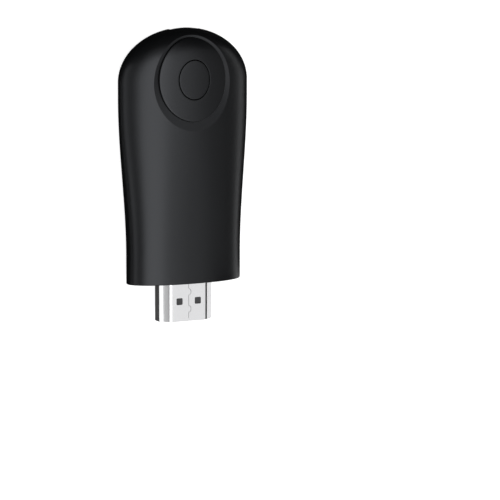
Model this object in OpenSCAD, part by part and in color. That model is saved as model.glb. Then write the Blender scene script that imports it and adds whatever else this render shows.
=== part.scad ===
// Wifi display dongle: a flared, round-nosed plastic housing with a standard
// video plug at one end and a small power socket at the other.
// The part lies on its flat back: +Z is the front with the button, +Y runs to
// the round head and -Y to the plug. The origin is under the middle of it all.

/* [Housing] */
// Length of the housing from the plug end to the tip of the head
body_len = 60.3; // [58:0.1:66]
// Width of the housing at the plug end
end_w = 29.4; // [28:0.1:30.5]
// Width of the housing at the head
head_w = 33.3; // [31.5:0.1:36]
// Distance from the plug end at which the sides start to flare
flare_start = 6.9; // [2:0.1:12]
// Distance from the plug end at which the sides reach the full head width
flare_end = 43.4; // [35:0.1:46]
// Length of the elliptical nose of the head
nose_len = 12.6; // [12.2:0.1:15]
// Height of the seam between the two shells above the back
seam_z = 5.2; // [4.8:0.1:6]
// Rise of the front above the seam at the plug end
end_rise = 5.7; // [5.4:0.1:6.4]
// Rise of the front above the seam at the head
head_rise = 6.3; // [6:0.1:7]
// Length over which the front falls away to the tip
dome_len = 9; // [8:0.1:11]
// Width of the rounding from the sides to the flat back
back_round = 10; // [7:0.1:12]
// Radius of the rounded edge all round the plug end
end_round = 0.3; // [0.2:0.05:0.6]
// Thickness of the shell walls
wall = 1.3; // [1:0.05:1.5]
// Depth of the front shell's lip inside the rear shell
lip_h = 1.0; // [0.6:0.05:1.1]

/* [Dish, plate and button] */
// Half width of the oval dish in the front
dish_rx = 9.8; // [9.6:0.05:10.5]
// Half length of the oval dish
dish_ry = 11.4; // [11.2:0.05:11.6]
// Depth of the plane under the dish below a straight cut through its rim
dish_drop = 0.18; // [0.1:0.01:0.3]
// Half width of the inset plate
plate_rx = 8.55; // [8:0.05:9]
// Half length of the inset plate
plate_ry = 9.8; // [9.5:0.05:10.3]
// Depth of the plate's seat below the dish
seat_depth = 0.9; // [0.7:0.05:1.1]
// Distance from the head's centre to the centre of plate and button
plate_shift = 0.6; // [0:0.05:0.8]
// Half width of the button
button_rx = 3.85; // [3.5:0.05:4.3]
// Half length of the button
button_ry = 4.55; // [4.2:0.05:5.2]
// Gap around the button in the plate
button_gap = 0.18; // [0.15:0.01:0.3]
// Travel of the button
button_travel = 0.3; // [0.2:0.05:0.35]

/* [Video plug] */
// Width of the plug's metal shell
plug_w = 13.9; // [13.7:0.05:14]
// Thickness of the plug's metal shell
plug_t = 4.45; // [4.4:0.05:4.55]
// Width of the plug's narrow front face
plug_flat = 9.45; // [9.3:0.05:10]
// Height of the plug's straight sides
plug_side = 2.5; // [2.3:0.05:2.7]
// Length of the plug outside the housing
plug_reach = 9.3; // [9:0.1:12]
// Length of the plug's shell inside the housing
plug_root = 5; // [4:0.1:6]
// Height of the plug's wide face above the back of the housing
plug_z = 3.56; // [3.4:0.02:3.8]
// Thickness of the plug's sheet metal
plug_sheet = 0.3; // [0.2:0.02:0.35]
// Side of each square latch hole
latch_size = 1.62; // [1.4:0.02:1.8]
// Distance between the centres of a pair of latch holes
latch_pitch = 4.8; // [4.4:0.1:5.2]
// Distance from the housing to the centres of the latch holes
latch_y = 4.9; // [4.4:0.1:5.4]

/* [Power socket] */
// Width of the socket's metal shell
jack_w = 7.5; // [7.4:0.05:7.6]
// Height of the socket's metal shell
jack_h = 2.5; // [2.4:0.05:2.6]
// Length of the socket's metal shell
jack_len = 5.0; // [4.6:0.1:5.4]
// Depth of the socket's mouth below the tip of the housing
jack_recess = 1.0; // [0.8:0.05:1.2]
// How far the socket is sunk below its ears, which lie on the board
jack_drop = 0.8; // [0.7:0.05:0.9]
// Thickness of the socket's sheet metal
jack_sheet = 0.25; // [0.2:0.05:0.3]

/* [Circuit board] */
// Thickness of the board
board_t = 1.0; // [0.8:0.1:1.2]
// Gap between the board's edge and the inside of the shells
board_gap = 1.0; // [0.8:0.1:1.5]
// Radius of the two board screws' threads
screw_r = 0.75; // [0.6:0.05:0.9]
// Length of the board screws below the head
screw_len = 3.8; // [3:0.1:4]
// Height of the tact switch without its plunger
switch_h = 1.35; // [1.2:0.05:1.4]
// Side of the square tact switch
switch_w = 5.2; // [4.5:0.1:6]

/* [Hidden] */
$fn = 48;

// Overrun of every cut past the face that it leaves
over = 0.5;
// Depth to which a piece is set into what it is moulded on
root = 0.3;
// Powers of the curves that form the front: across its middle and down to its
// sides, at the plug end and at the head, and along the nose
end_crown = 2.35;
head_crown = 1.95;
end_side = 0.53;
head_side = 0.66;
dome_power = 2.2;
// Fall of the dish's band from its rim to the plate, per length of the band
band_fall = 0.08;
// Straight land above the seam, where the moulds part
land = 0.15;

// Steps around each ring of a skin: plug end, each side, nose
end_steps = 14;
side_steps = 15;
nose_steps = 32;
// Points of a side over the rounded plug end, as shares of its radius
corner_shares = [0, 0.1, 0.4, 1];
// Rings of the front skin outside and inside, of the back, and on a crown
outer_rows = 8;
inner_rows = 5;
back_rows = 6;
crown_rows = 3;

// The centre of the head is where the nose starts
head_y = body_len - nose_len;
plate_y = head_y + plate_shift;
// Distance from the middle of the whole part to the plug end of the housing
end_y = (plug_reach - body_len)/2;

// Distance from the outside to the lip, and the gap around the lip
lip_inset = 0.7;
lip_gap = 0.05;

// Gap around the plate, wall under its seat and rim of the boss around it
plate_gap = 0.07;
seat_wall = 1.0;
boss_rim = 1.1;
boss_end_rim = 0.35;
plate_edge = 0.1;
tape_t = 0.15;
tape_w = 2;
// Flange that holds the button under the plate
flange_w = 1.2;
flange_t = 0.6;
flange_gap = 0.1;
flange_side_gap = 0.25;

// The board lies level with the middle of the plug
board_z = plug_z + plug_t/2 - board_t/2;
board_top = board_z + board_t;
board_inset = wall + board_gap;
insulator_back = plug_root + 1.2;
board_len = body_len - board_inset - insulator_back;

// Plug contacts: thickness, width, pitch, and how far the tails and tips reach
contact_t = 0.2;
contact_w = 0.4;
contact_pitch = 1;
contact_tail = 2.4;
contact_tip = 1.1;
insulator_recess = 0.6;
slot_side = 0.7;
slot_depth = 7.2;
fit_gap = 0.05;
corner_r = 0.5;
opening_gap = 0.15;
// Butt seam of the plug's shell, with two locking tabs
seam_w = 0.1;
seam_depth = 0.12;
tab_out = 0.62;
tab_len = 1.5;
tab_places = [2.0, 6.4];
// Half outlines of a locking tab, as shares of how far it stands out and of its length
tab_shares = [
    [0, 0.5], [0.3, 0.44], [0.85, 0.36], [1, 0.22],
    [1, -0.22], [0.85, -0.36], [0.3, -0.44], [0, -0.5]
];

// Power socket: it hangs in the board's notch by two bent ears
jack_z = board_top + jack_sheet - jack_drop - jack_h;
jack_mouth = body_len - jack_recess;
jack_back = jack_mouth - jack_len;
jack_low_share = 0.72;
jack_shoulder_share = 0.45;
jack_corner_r = 0.3;
jack_ear_w = 1.1;
jack_ear_len = 1.6;
jack_leg_h = jack_drop + 2*jack_corner_r;
jack_block = 1.2;
jack_tongue_recess = 0.6;
jack_tongue_w = 3.6;
jack_tongue_t = 0.65;
jack_tongue_z = jack_z + 0.5*jack_h;
jack_contact_w = 0.3;
jack_contact_pitch = 0.65;
jack_contact_t = 0.15;
jack_tail = 1.1;
jack_riser_gap = 0.15;
notch_gap = 0.12;

// Screw posts and locating pins, as shares of the board's half width and length
post_shares = [[-0.69, 0.11], [0.61, 0.61], [0.69, 0.11], [-0.61, 0.61]];
screw_posts = [0, 1];
pin_posts = [2, 3];
post_r = 2;
pin_r = 0.9;
pin_h = 0.9;
pin_hole_gap = 0.1;
socket_r = 1.6;
socket_depth = 1.2;
head_r = 1.55;
head_h = 0.85;
slot_len = 2.1;
slot_w = 0.35;
slot_sink = 0.4;
rib_t = 0.8;
rib_w = 13;
// Cross ribs under the board, as shares of its length
rib_shares = [0.31, 0.53];

// Tact switch
plunger_r = 1.15;
plunger_rim = 0.45;
plunger_rim_t = 0.3;
plunger_top = board_top + switch_h + button_travel;
cover_t = 0.15;
plunger_gap = 0.12;
plunger_rim_z = board_top + switch_h - cover_t - plunger_gap - plunger_rim_t;
well_gap = 0.05;
well_z = plunger_rim_z - button_travel - well_gap;
switch_leg_w = 0.9;
switch_leg_len = 0.6;

// Height and slope of the plane that cuts the dish, from its two ends
dish_low_y = head_y - dish_ry;
dish_high_y = head_y + dish_ry;
dish_slope = (front_z(0, dish_high_y, 0) - front_z(0, dish_low_y, 0))/(dish_high_y - dish_low_y);

function smooth_step(u) = let (c = max(0, min(1, u))) c*c*(3 - 2*c);

// Half width of the housing at a distance y from the plug end, set in by g
function flare(y) = smooth_step((y - flare_start)/(flare_end - flare_start));
function end_drop(y) = y >= end_round ? 0 : end_round - sqrt(pow(end_round, 2) - pow(end_round - y, 2));
function side_w(y, g) = end_w/2 + (head_w - end_w)/2*flare(y) - g - end_drop(y);
function nose_share(y, g) = max(0, (y - head_y)/(nose_len - g));
function half_w(y, g) = side_w(y, g)*sqrt(max(0, 1 - pow(nose_share(y, g), 2)));

// Rise of the front's centre line above the seam, and the height of any point of it
function dome_share(y, g) = max(0, (y - body_len + dome_len)/(dome_len - g));
function rise(y, g) =
    (end_rise + (head_rise - end_rise)*smooth_step(y/flare_end) - g - end_drop(y))
    *pow(max(0, 1 - pow(dome_share(y, g), dome_power)), 1/dome_power);
function across(x, w) = w <= 0 ? 1 : min(1, abs(x)/w);
function crown(y) = end_crown + (head_crown - end_crown)*flare(y);
function side(y) = end_side + (head_side - end_side)*flare(y);
function front_z(x, y, g) = seam_z + rise(y, g)*pow(1 - pow(across(x, half_w(y, g)), crown(y)), side(y));

// Height of the plane from which the seat, the plate's foot and the button hang
function dish_z(y) = front_z(0, dish_low_y, 0) + dish_slope*(y - dish_low_y) - dish_drop;

// Outline of the housing seen from the front, set in by g at the sides and e at
// the plug end: the end, the right side, the elliptical nose and the left side
side_angle = atan(2*head_y/end_w);
function side_y(i, e) = head_y - (head_y - e)*tan(side_angle*(1 - i/side_steps))/tan(side_angle);
function side_ys(e) = concat(
    [for (share = corner_shares) e + share*end_round],
    [for (i = [1:side_steps]) side_y(i, e)]
);
function outline(g, e) = let (ys = side_ys(e), n = len(ys)) concat(
    [for (i = [0:end_steps - 1]) [-side_w(e, g)*cos(180*i/end_steps), e]],
    [for (i = [0:n - 2]) [side_w(ys[i], g), ys[i]]],
    [for (i = [0:nose_steps - 1]) let (a = 180*i/nose_steps)
        [(head_w/2 - g)*cos(a), head_y + (nose_len - g)*sin(a)]],
    [for (i = [n - 1:-1:1]) [-side_w(ys[i], g), ys[i]]]
);

// Ovals whose points lie in the same directions as those of the outline
directions = [for (p = outline(0, 0)) atan2(p.y - head_y, p.x)];
function oval(rx, ry, cy) = [for (a = directions) [rx*cos(a), cy + ry*sin(a)]];

// Rings in space: on the front, level, and parallel to the dish
function on_front(points, g) = [
    for (p = points) [p.x, p.y, max(front_z(p.x, p.y, g), seam_z + (g == 0 ? land : 0))]
];
function level(points, z) = [for (p = points) [p.x, p.y, z]];
function on_slope(points, drop) = [for (p = points) [p.x, p.y, dish_z(p.y) - drop]];
function shift_z(points, dz) = [for (p = points) [p.x, p.y, p.z + dz]];
function between(a, b, share) = a*(1 - share) + b*share;
function back_ring(g, angle) = [
    for (p = outline(g + (back_round - g)*(1 - cos(angle)), g))
        [p.x, p.y, seam_z - (seam_z - g - end_drop(p.y))*sin(angle)]
];

function ring_faces(a, b, n) = [
    for (i = [0:n - 1]) let (k = (i + 1)%n) each [[a*n + i, a*n + k, b*n + k], [a*n + i, b*n + k, b*n + i]]
];

// Solid with a hole through it: the skin runs through all rings and back to the first
module loop_skin(rings) {
    n = len(rings[0]);
    m = len(rings);
    polyhedron(
        points = [for (r = rings) each r],
        faces = [for (j = [0:m - 1]) each ring_faces(j, (j + 1)%m, n)]
    );
}

// Solid without a hole: the first and the last ring are closed to a centre point
module closed_skin(first, rings, last) {
    n = len(rings[0]);
    m = len(rings);
    polyhedron(
        points = concat([for (r = rings) each r], [first, last]),
        faces = concat(
            [for (i = [0:n - 1]) [m*n, (i + 1)%n, i]],
            [for (j = [0:m - 2]) each ring_faces(j, j + 1, n)],
            [for (i = [0:n - 1]) [m*n + 1, (m - 1)*n + i, (m - 1)*n + (i + 1)%n]]
        )
    );
}

// Corners of a polygon that runs anticlockwise: its inner normals, a copy set in
// by g, and a copy with every corner rounded
function edge_normal(p, q) = let (d = q - p) [-d.y, d.x]/norm(d);
function normal_in(points, i) = edge_normal(points[(i + len(points) - 1)%len(points)], points[i]);
function normal_out(points, i) = edge_normal(points[i], points[(i + 1)%len(points)]);
function corner_shift(points, i) =
    let (a = normal_in(points, i), b = normal_out(points, i)) (a + b)/(1 + a*b);
function set_in(points, g) = [for (i = [0:len(points) - 1]) points[i] + g*corner_shift(points, i)];
corner_steps = 4;
function rounded(points, r) = [
    for (i = [0:len(points) - 1])
        let (
            a = normal_in(points, i),
            b = normal_out(points, i),
            c = points[i] + r*corner_shift(points, i),
            start = atan2(-a.y, -a.x),
            turn = atan2(a.x*b.y - a.y*b.x, a*b)
        )
        for (k = [0:corner_steps]) let (t = start + turn*k/corner_steps) c + r*[cos(t), sin(t)]
];

// Section of the plug: the wide face towards the back, chamfered to the front
plug_points = [
    [-plug_w/2, 0], [plug_w/2, 0], [plug_w/2, plug_side],
    [plug_flat/2, plug_t], [-plug_flat/2, plug_t], [-plug_w/2, plug_side]
];
// Section of the space inside the plug's shell, set in by g
function plug_hollow(g) = rounded(set_in(plug_points, plug_sheet + g), corner_r - plug_sheet);

// Section of the power socket's shell: narrow towards the back
jack_points = [
    [-jack_w/2*jack_low_share, 0], [jack_w/2*jack_low_share, 0], [jack_w/2, jack_h*jack_shoulder_share],
    [jack_w/2, jack_h], [-jack_w/2, jack_h], [-jack_w/2, jack_h*jack_shoulder_share]
];
jack_hollow = rounded(set_in(jack_points, jack_sheet), jack_corner_r - jack_sheet);

// A section drawn in X and Z, run from y0 to y1
module bar(points, z, y0, y1) {
    translate([0, y1, z]) rotate([90, 0, 0]) linear_extrude(y1 - y0) polygon(points);
}

// A block between two corners
module block(low, high) {
    translate(low) cube(high - low);
}

// A level block on the board: centre, size, and height of its foot
module chip(centre, size, z) {
    translate([centre.x - size.x/2, centre.y - size.y/2, z]) cube(size);
}

// Place on the board, from shares of its half width and of its length
function spot(shares) = let (y = insulator_back + shares.y*board_len) [shares.x*half_w(y, board_inset), y];

// Everything is built from the plug end of the housing and moved to the middle
module place() {
    translate([0, end_y, 0]) children();
}

// Openings in the housing for the plug and for the power socket
module plug_opening() {
    bar(rounded(set_in(plug_points, -opening_gap), corner_r), plug_z, -over, 2*wall);
}
module jack_opening() {
    bar(rounded(set_in(jack_points, -opening_gap), jack_corner_r), jack_z, jack_back, body_len + over);
}

seat_oval = oval(plate_rx + plate_gap, plate_ry + plate_gap, plate_y);
shell_hole = oval(button_rx + flange_w + flange_side_gap, button_ry + flange_w + flange_side_gap, plate_y);
boss_oval = oval(plate_rx + boss_rim, plate_ry + boss_end_rim, plate_y);
boss_drop = seat_depth + seat_wall;
// Inner edge of the dish's band, a little lower than the rim beside it
function band_foot(inner, rim) = [
    for (i = [0:len(rim) - 1])
        concat(inner[i], front_z(rim[i].x, rim[i].y, 0) - band_fall*norm(rim[i] - inner[i]))
];

// Front half of the housing: dished face, seat for the plate, and a lip all round
module front_shell() {
    edge = outline(0, 0);
    inner = outline(wall, wall);
    dish = oval(dish_rx, dish_ry, head_y);
    boss_top = on_front(boss_oval, wall);
    boss_foot = on_slope(boss_oval, boss_drop);
    end_shares = [for (k = [len(corner_shares) - 1:-1:0]) 1 - corner_shares[k]*end_round/dish_low_y];
    shares = concat([for (k = [0:outer_rows - 1]) sin(90*k/outer_rows)], end_shares);
    rings = concat(
        [
            on_slope(shell_hole, boss_drop), on_slope(shell_hole, seat_depth),
            on_slope(seat_oval, seat_depth), band_foot(seat_oval, dish)
        ],
        [for (share = shares) on_front(between(dish, edge, share), 0)],
        [
            level(edge, seam_z), level(outline(lip_inset, lip_inset), seam_z),
            level(outline(lip_inset, lip_inset), seam_z - lip_h), level(inner, seam_z - lip_h)
        ],
        [for (k = [inner_rows:-1:0]) on_front(between(boss_oval, inner, sin(90*k/inner_rows)), wall)],
        [[for (i = [0:len(boss_top) - 1])
            [boss_top[i].x, boss_top[i].y, min(boss_top[i].z - lip_gap, boss_foot[i].z)]]]
    );
    color("#242425") place() difference() {
        union() {
            loop_skin(rings);
            for (i = pin_posts) front_socket(spot(post_shares[i]));
        }
        plug_opening();
        jack_opening();
        for (i = pin_posts) {
            translate(concat(spot(post_shares[i]), board_top - over))
                cylinder(r = pin_r + pin_hole_gap, h = over + socket_depth);
        }
    }
}

// Post under the front, which holds the board down around a locating pin
module front_socket(centre) {
    foot = board_top + lip_gap;
    translate(concat(centre, foot)) cylinder(r = socket_r, h = front_z(centre.x, centre.y, wall/2) - foot);
}

// Rear half of the housing: flat back, rebate for the lip, posts and ribs
module rear_shell() {
    rebate_z = seam_z - lip_h - lip_gap;
    rebate_angle = asin((seam_z - rebate_z)/(seam_z - wall));
    rebate = outline(lip_inset - lip_gap, lip_inset - lip_gap);
    rings = concat(
        [for (k = [0:back_rows]) back_ring(wall, 90 + (rebate_angle - 90)*k/back_rows)],
        [level(rebate, rebate_z), level(rebate, seam_z)],
        [for (k = [0:back_rows]) back_ring(0, 90*k/back_rows)],
        [for (k = [1:len(corner_shares) - 1])
            [for (p = outline(back_round + k*end_round, corner_shares[k]*end_round)) [p.x, p.y, end_drop(p.y)]]]
    );
    middle = [0, body_len/2, 0];
    color("#1f1f20") place() difference() {
        union() {
            closed_skin(middle + [0, 0, wall], rings, middle);
            for (i = screw_posts) rear_post(spot(post_shares[i]), board_z);
            for (i = pin_posts) {
                rear_post(spot(post_shares[i]), board_z);
                translate(concat(spot(post_shares[i]), wall))
                    cylinder(r = pin_r, h = board_top + pin_h - wall);
            }
            for (share = rib_shares) {
                translate([-rib_w/2, insulator_back + share*board_len - rib_t/2, wall - root])
                    cube([rib_w, rib_t, board_z - wall + root]);
            }
        }
        plug_opening();
        jack_opening();
        for (i = screw_posts) {
            translate(concat(spot(post_shares[i]), board_top - screw_len))
                cylinder(r = screw_r, h = screw_len);
        }
    }
}

module rear_post(centre, top) {
    translate(concat(centre, wall)) cylinder(r = post_r, h = top - wall);
}

// Domed oval plate, flush with the front, with the hole for the button
module face_plate() {
    hole = oval(button_rx + button_gap, button_ry + button_gap, plate_y);
    top = oval(plate_rx - plate_edge, plate_ry - plate_edge, plate_y);
    rim = oval(plate_rx, plate_ry, plate_y);
    foot = seat_depth - tape_t;
    rings = concat(
        [on_slope(hole, foot)],
        [for (k = [0:crown_rows]) on_front(between(hole, top, k/crown_rows), 0)],
        [shift_z(on_front(rim, 0), -plate_edge), on_slope(rim, foot)]
    );
    color("#262627") place() loop_skin(rings);
}

// Double-sided tape between the plate and its seat
module plate_tape() {
    outer = oval(plate_rx - plate_gap, plate_ry - plate_gap, plate_y);
    inner = oval(plate_rx - tape_w, plate_ry - tape_w, plate_y);
    color("#d8d2bf") place() loop_skin([
        on_slope(inner, seat_depth), on_slope(inner, seat_depth - tape_t),
        on_slope(outer, seat_depth - tape_t), on_slope(outer, seat_depth)
    ]);
}

// Oval button with a flange under the plate and a stem down to the switch
module button() {
    centre = [0, plate_y];
    edge = oval(button_rx - plate_edge, button_ry - plate_edge, plate_y);
    side = oval(button_rx, button_ry, plate_y);
    flange = oval(button_rx + flange_w, button_ry + flange_w, plate_y);
    flange_drop = seat_depth - tape_t + flange_gap;
    foot_z = dish_z(plate_y) - flange_drop - flange_t;
    rings = concat(
        [for (k = [1:crown_rows]) on_front(between(oval(0, 0, plate_y), edge, k/crown_rows), 0)],
        [
            shift_z(on_front(side, 0), -plate_edge), on_slope(side, flange_drop),
            on_slope(flange, flange_drop), on_slope(flange, flange_drop + flange_t)
        ]
    );
    color("#252526") place() {
        closed_skin(concat(centre, front_z(0, plate_y, 0)), rings, concat(centre, foot_z));
        translate(concat(centre, plunger_top))
            cylinder(r = plunger_r, h = foot_z + flange_t/2 - plunger_top);
    }
}

// Plunger of the tact switch, with the rim that holds it under the cover
module switch_plunger() {
    color("#3a3a3c") place() translate([0, plate_y, 0]) {
        translate([0, 0, plunger_rim_z]) cylinder(r = plunger_r, h = plunger_top - plunger_rim_z);
        translate([0, 0, plunger_rim_z]) cylinder(r = plunger_r + plunger_rim, h = plunger_rim_t);
    }
}

// Moulded base of the tact switch with its round well and four legs
module switch_body() {
    well_r = plunger_r + plunger_rim + plunger_gap;
    color("#1c1c1e") place() translate([0, plate_y, board_top]) {
        difference() {
            translate([-switch_w/2, -switch_w/2, 0]) cube([switch_w, switch_w, switch_h - cover_t]);
            translate([0, 0, well_z - board_top]) cylinder(r = well_r, h = switch_h);
        }
        for (sx = [-1, 1], sy = [-1, 1]) {
            chip(
                [sx*(switch_w + switch_leg_len)/2, sy*switch_w/3],
                [switch_leg_len, switch_leg_w, contact_t], 0
            );
        }
    }
}

// Sheet-metal cover of the tact switch
module switch_cover() {
    color("#b9bcc0") place() translate([0, plate_y, board_top + switch_h - cover_t]) difference() {
        translate([-switch_w/2, -switch_w/2, 0]) cube([switch_w, switch_w, cover_t]);
        translate([0, 0, -over]) cylinder(r = plunger_r + plunger_gap, h = cover_t + 2*over);
    }
}

// Printed circuit board, with the notch for the power socket
module circuit_board() {
    notch_w = jack_w + 2*notch_gap;
    notch_y = jack_back - jack_block/2;
    color("#0f5132") place() difference() {
        translate([0, 0, board_z]) linear_extrude(board_t) polygon(outline(board_inset, insulator_back));
        translate([-notch_w/2, notch_y, board_z - over]) cube([notch_w, body_len - notch_y, board_t + 2*over]);
        for (i = screw_posts) {
            translate(concat(spot(post_shares[i]), board_z - over))
                cylinder(r = screw_r + pin_hole_gap, h = board_t + 2*over);
        }
        for (i = pin_posts) {
            translate(concat(spot(post_shares[i]), board_z - over))
                cylinder(r = pin_r + pin_hole_gap, h = board_t + 2*over);
        }
    }
}

// Path of the butt seam on the plug's front face, from the mouth to the housing
seam_path = concat(
    [[0, -plug_reach - over]],
    [for (i = [len(tab_places) - 1:-1:0]) for (k = [len(tab_shares) - 1:-1:0])
        [tab_out*tab_shares[k].x, tab_len*tab_shares[k].y - tab_places[i]]],
    [[0, plug_root + over]]
);
module seam_groove(z) {
    for (i = [0:len(seam_path) - 2]) {
        step = seam_path[i + 1] - seam_path[i];
        translate(concat(seam_path[i], z)) rotate([0, 0, atan2(step.y, step.x)])
            translate([0, -seam_w/2, 0]) cube([norm(step), seam_w, over]);
        translate(concat(seam_path[i], z)) cylinder(d = seam_w, h = over, $fn = 16);
    }
}

// Folded sheet-metal shell of the video plug, with its latch holes and butt seam
module plug_shell() {
    half = latch_size/2;
    latch = rounded([[-half, -half], [half, -half], [half, half], [-half, half]], half/3);
    color("#d9dadc") place() difference() {
        bar(rounded(plug_points, corner_r), plug_z, -plug_reach, plug_root);
        bar(plug_hollow(0), plug_z, -plug_reach - over, plug_root + over);
        for (side = [-1, 1]) {
            translate([side*latch_pitch/2, -latch_y, plug_z - over])
                linear_extrude(plug_t + 2*over) polygon(latch);
        }
        seam_groove(plug_z + plug_t - seam_depth);
    }
}

// Row of straight contacts that lie on one face of the board
module contact_row(count, z, y0, y1) {
    for (i = [0:count - 1]) {
        x = (i - (count - 1)/2)*contact_pitch;
        block([x - contact_w/2, y0, z], [x + contact_w/2, y1, z + contact_t]);
    }
}
module upper_row(y0, y1) {
    contact_row(10, board_top, y0, y1);
}
module lower_row(y0, y1) {
    contact_row(9, board_z - contact_t, y0, y1);
}
contact_front = -plug_reach + contact_tip;
contact_back = insulator_back + contact_tail;

// Black insert of the plug, with the slot that takes the socket's tongue
module plug_insulator() {
    front = -plug_reach + insulator_recess;
    slot_w2 = plug_w/2 - plug_sheet - slot_side;
    color("#17171a") place() difference() {
        bar(plug_hollow(fit_gap), plug_z, front, insulator_back);
        block(
            [-slot_w2, front - over, board_z - contact_t],
            [slot_w2, front + slot_depth, board_top + contact_t]
        );
        upper_row(front + slot_depth - over, contact_back);
        lower_row(front + slot_depth - over, contact_back);
    }
}
module plug_upper_contacts() {
    color("#d2ab4f") place() upper_row(contact_front, contact_back);
}
module plug_lower_contacts() {
    color("#d2ab4f") place() lower_row(contact_front, contact_back);
}

// Sheet-metal shell of the power socket, with two ears that rise from its sides and lie on the board
module jack_shell() {
    ear_x = jack_w/2 - jack_sheet/2;
    color("#c9ccd0") place() difference() {
        union() {
            bar(rounded(jack_points, jack_corner_r), jack_z, jack_back, jack_mouth);
            for (side = [-1, 1]) {
                chip(
                    [side*(ear_x + jack_ear_w/2), jack_back + jack_ear_len],
                    [jack_ear_w, jack_ear_len, jack_sheet], board_top
                );
                chip(
                    [side*ear_x, jack_back + jack_ear_len],
                    [jack_sheet, jack_ear_len, jack_leg_h], board_top + jack_sheet - jack_leg_h
                );
            }
        }
        bar(jack_hollow, jack_z, jack_back - over, jack_mouth + over);
    }
}

// Contacts of the power socket: under the tongue, up its back and onto the board
module jack_contact_set(growth) {
    back = jack_back - jack_riser_gap;
    foot = jack_tongue_z - jack_contact_t;
    for (i = [-2:2]) {
        x0 = i*jack_contact_pitch - jack_contact_w/2;
        x1 = x0 + jack_contact_w;
        block([x0, back - jack_contact_t, foot], [x1, jack_mouth - jack_block + growth, jack_tongue_z]);
        block([x0, back - jack_contact_t, foot], [x1, back, board_top + jack_contact_t]);
        block([x0, back - jack_tail, board_top], [x1, back, board_top + jack_contact_t]);
    }
}
module jack_contacts() {
    color("#d2ab4f") place() jack_contact_set(0);
}

// Insulator of the power socket: a back block and the tongue
module jack_insulator() {
    color("#17171a") place() difference() {
        union() {
            bar(
                rounded(set_in(jack_points, jack_sheet + fit_gap), fit_gap),
                jack_z, jack_back, jack_back + jack_block
            );
            block(
                [-jack_tongue_w/2, jack_back + jack_block - root, jack_tongue_z],
                [jack_tongue_w/2, jack_mouth - jack_tongue_recess, jack_tongue_z + jack_tongue_t]
            );
        }
        jack_contact_set(over);
    }
}

// Chips on the board: plan size and height, and where each one sits
processor_size = [12, 12, 1.2];
processor_shares = [0, 0.42];
memory_size = [10, 8, 1];
memory_shares = [0, 0.165];
flash_size = [4.9, 5.9, 1.3];
flash_shares = [0.05, 0.415];
pad_t = 0.5;
spreader_size = [13, 13, 0.7];
module main_processor() {
    dot_r = 0.5;
    dot = spot(processor_shares) + [-1, 1]*(processor_size.x/2 - 3*dot_r);
    color("#2b2b2e") place() difference() {
        chip(spot(processor_shares), processor_size, board_top);
        translate(concat(dot, board_top + processor_size.z - dot_r/5)) cylinder(r = dot_r, h = over);
    }
}
module memory_chip() {
    color("#2b2b2e") place() chip(spot(memory_shares), memory_size, board_top);
}

// Small-outline chip on the back of the board, with four legs on each side
module flash_chip() {
    leg_w = 0.42;
    leg_pitch = 1.27;
    leg_len = 0.9;
    centre = spot(flash_shares);
    color("#2b2b2e") place() {
        chip(centre, [flash_size.x, flash_size.y - 2*leg_len, flash_size.z], board_z - flash_size.z);
        for (i = [0:3], side = [-1, 1]) {
            chip(
                centre + [(i - 1.5)*leg_pitch, side*(flash_size.y - leg_len)/2],
                [leg_w, leg_len, contact_t], board_z - contact_t
            );
        }
    }
}
module thermal_pad() {
    size = [processor_size.x, processor_size.y, pad_t];
    color("#8fa3b8") place() chip(spot(processor_shares), size, board_top + processor_size.z);
}

// Finned aluminium spreader stuck to the processor
module heat_spreader() {
    fin_h = 0.4;
    fin_count = 6;
    gap = spreader_size.x/(2*fin_count - 1);
    foot = board_top + processor_size.z + pad_t;
    color("#a8abae") place() difference() {
        chip(spot(processor_shares), spreader_size, foot);
        for (i = [0:fin_count - 2]) {
            chip(
                spot(processor_shares) + [(2*i + 1 + 0.5)*gap - spreader_size.x/2, 0],
                [gap, spreader_size.y + 2*over, spreader_size.z], foot + spreader_size.z - fin_h
            );
        }
    }
}

// Radio module on the back of the board, under its shield
wifi_size = [12, 12, 0.7];
wifi_shares = [0, 0.755];
shield_rim = 0.5;
shield_h = 1.4;
shield_t = 0.15;
module wifi_module() {
    pad_r = 0.3;
    centre = spot(wifi_shares);
    color("#123a66") place() difference() {
        chip(centre, wifi_size, board_z - wifi_size.z);
        for (i = [-4:4], side = [-1, 1]) {
            translate(concat(centre + [side*wifi_size.x/2, i*4*pad_r], board_z - wifi_size.z - over))
                cylinder(r = pad_r, h = wifi_size.z + 2*over);
        }
    }
}
module wifi_shield() {
    size = wifi_size - [1, 1, 0]*2*shield_rim;
    foot = board_z - wifi_size.z;
    hollow = size - [1, 1, 0]*2*shield_t;
    color("#b9bcc0") place() difference() {
        chip(spot(wifi_shares), [size.x, size.y, shield_h], foot - shield_h);
        chip(spot(wifi_shares), [hollow.x, hollow.y, shield_h], foot - shield_h + shield_t);
    }
}

// A chip part with a metal cap on each end, laid along X
module end_capped(centre, size, z) {
    cap = size.x/5;
    skin = size.z/25;
    chip(centre, [size.x - cap, size.y - 2*skin, size.z - skin], z);
    for (side = [-1, 1]) {
        chip(centre + [side*(size.x - cap)/2, 0], [cap, size.y, size.z], z);
    }
}
antenna_size = [7, 2, 0.9];
antenna_shares = [-0.55, 0.885];
module chip_antenna() {
    color("#e8e6df") place() end_capped(spot(antenna_shares), antenna_size, board_top);
}

crystal_size = [3.2, 2.5, 0.8];
crystal_shares = [[0.72, 0.25], [-0.75, 0.72]];
module crystals() {
    color("#b9bcc0") place() for (s = crystal_shares) chip(spot(s), crystal_size, board_top);
}

inductor_size = [3, 3, 1.5];
inductor_coil_d = 2.85;
inductor_shares = [[-0.68, 0.5], [0.69, 0.47]];
module power_inductors() {
    color("#3c3c3e") place() for (s = inductor_shares) {
        chip(spot(s), [inductor_size.x, inductor_size.y, inductor_size.z/3], board_top);
        translate(concat(spot(s), board_top)) cylinder(d = inductor_coil_d, h = inductor_size.z);
    }
}

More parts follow.
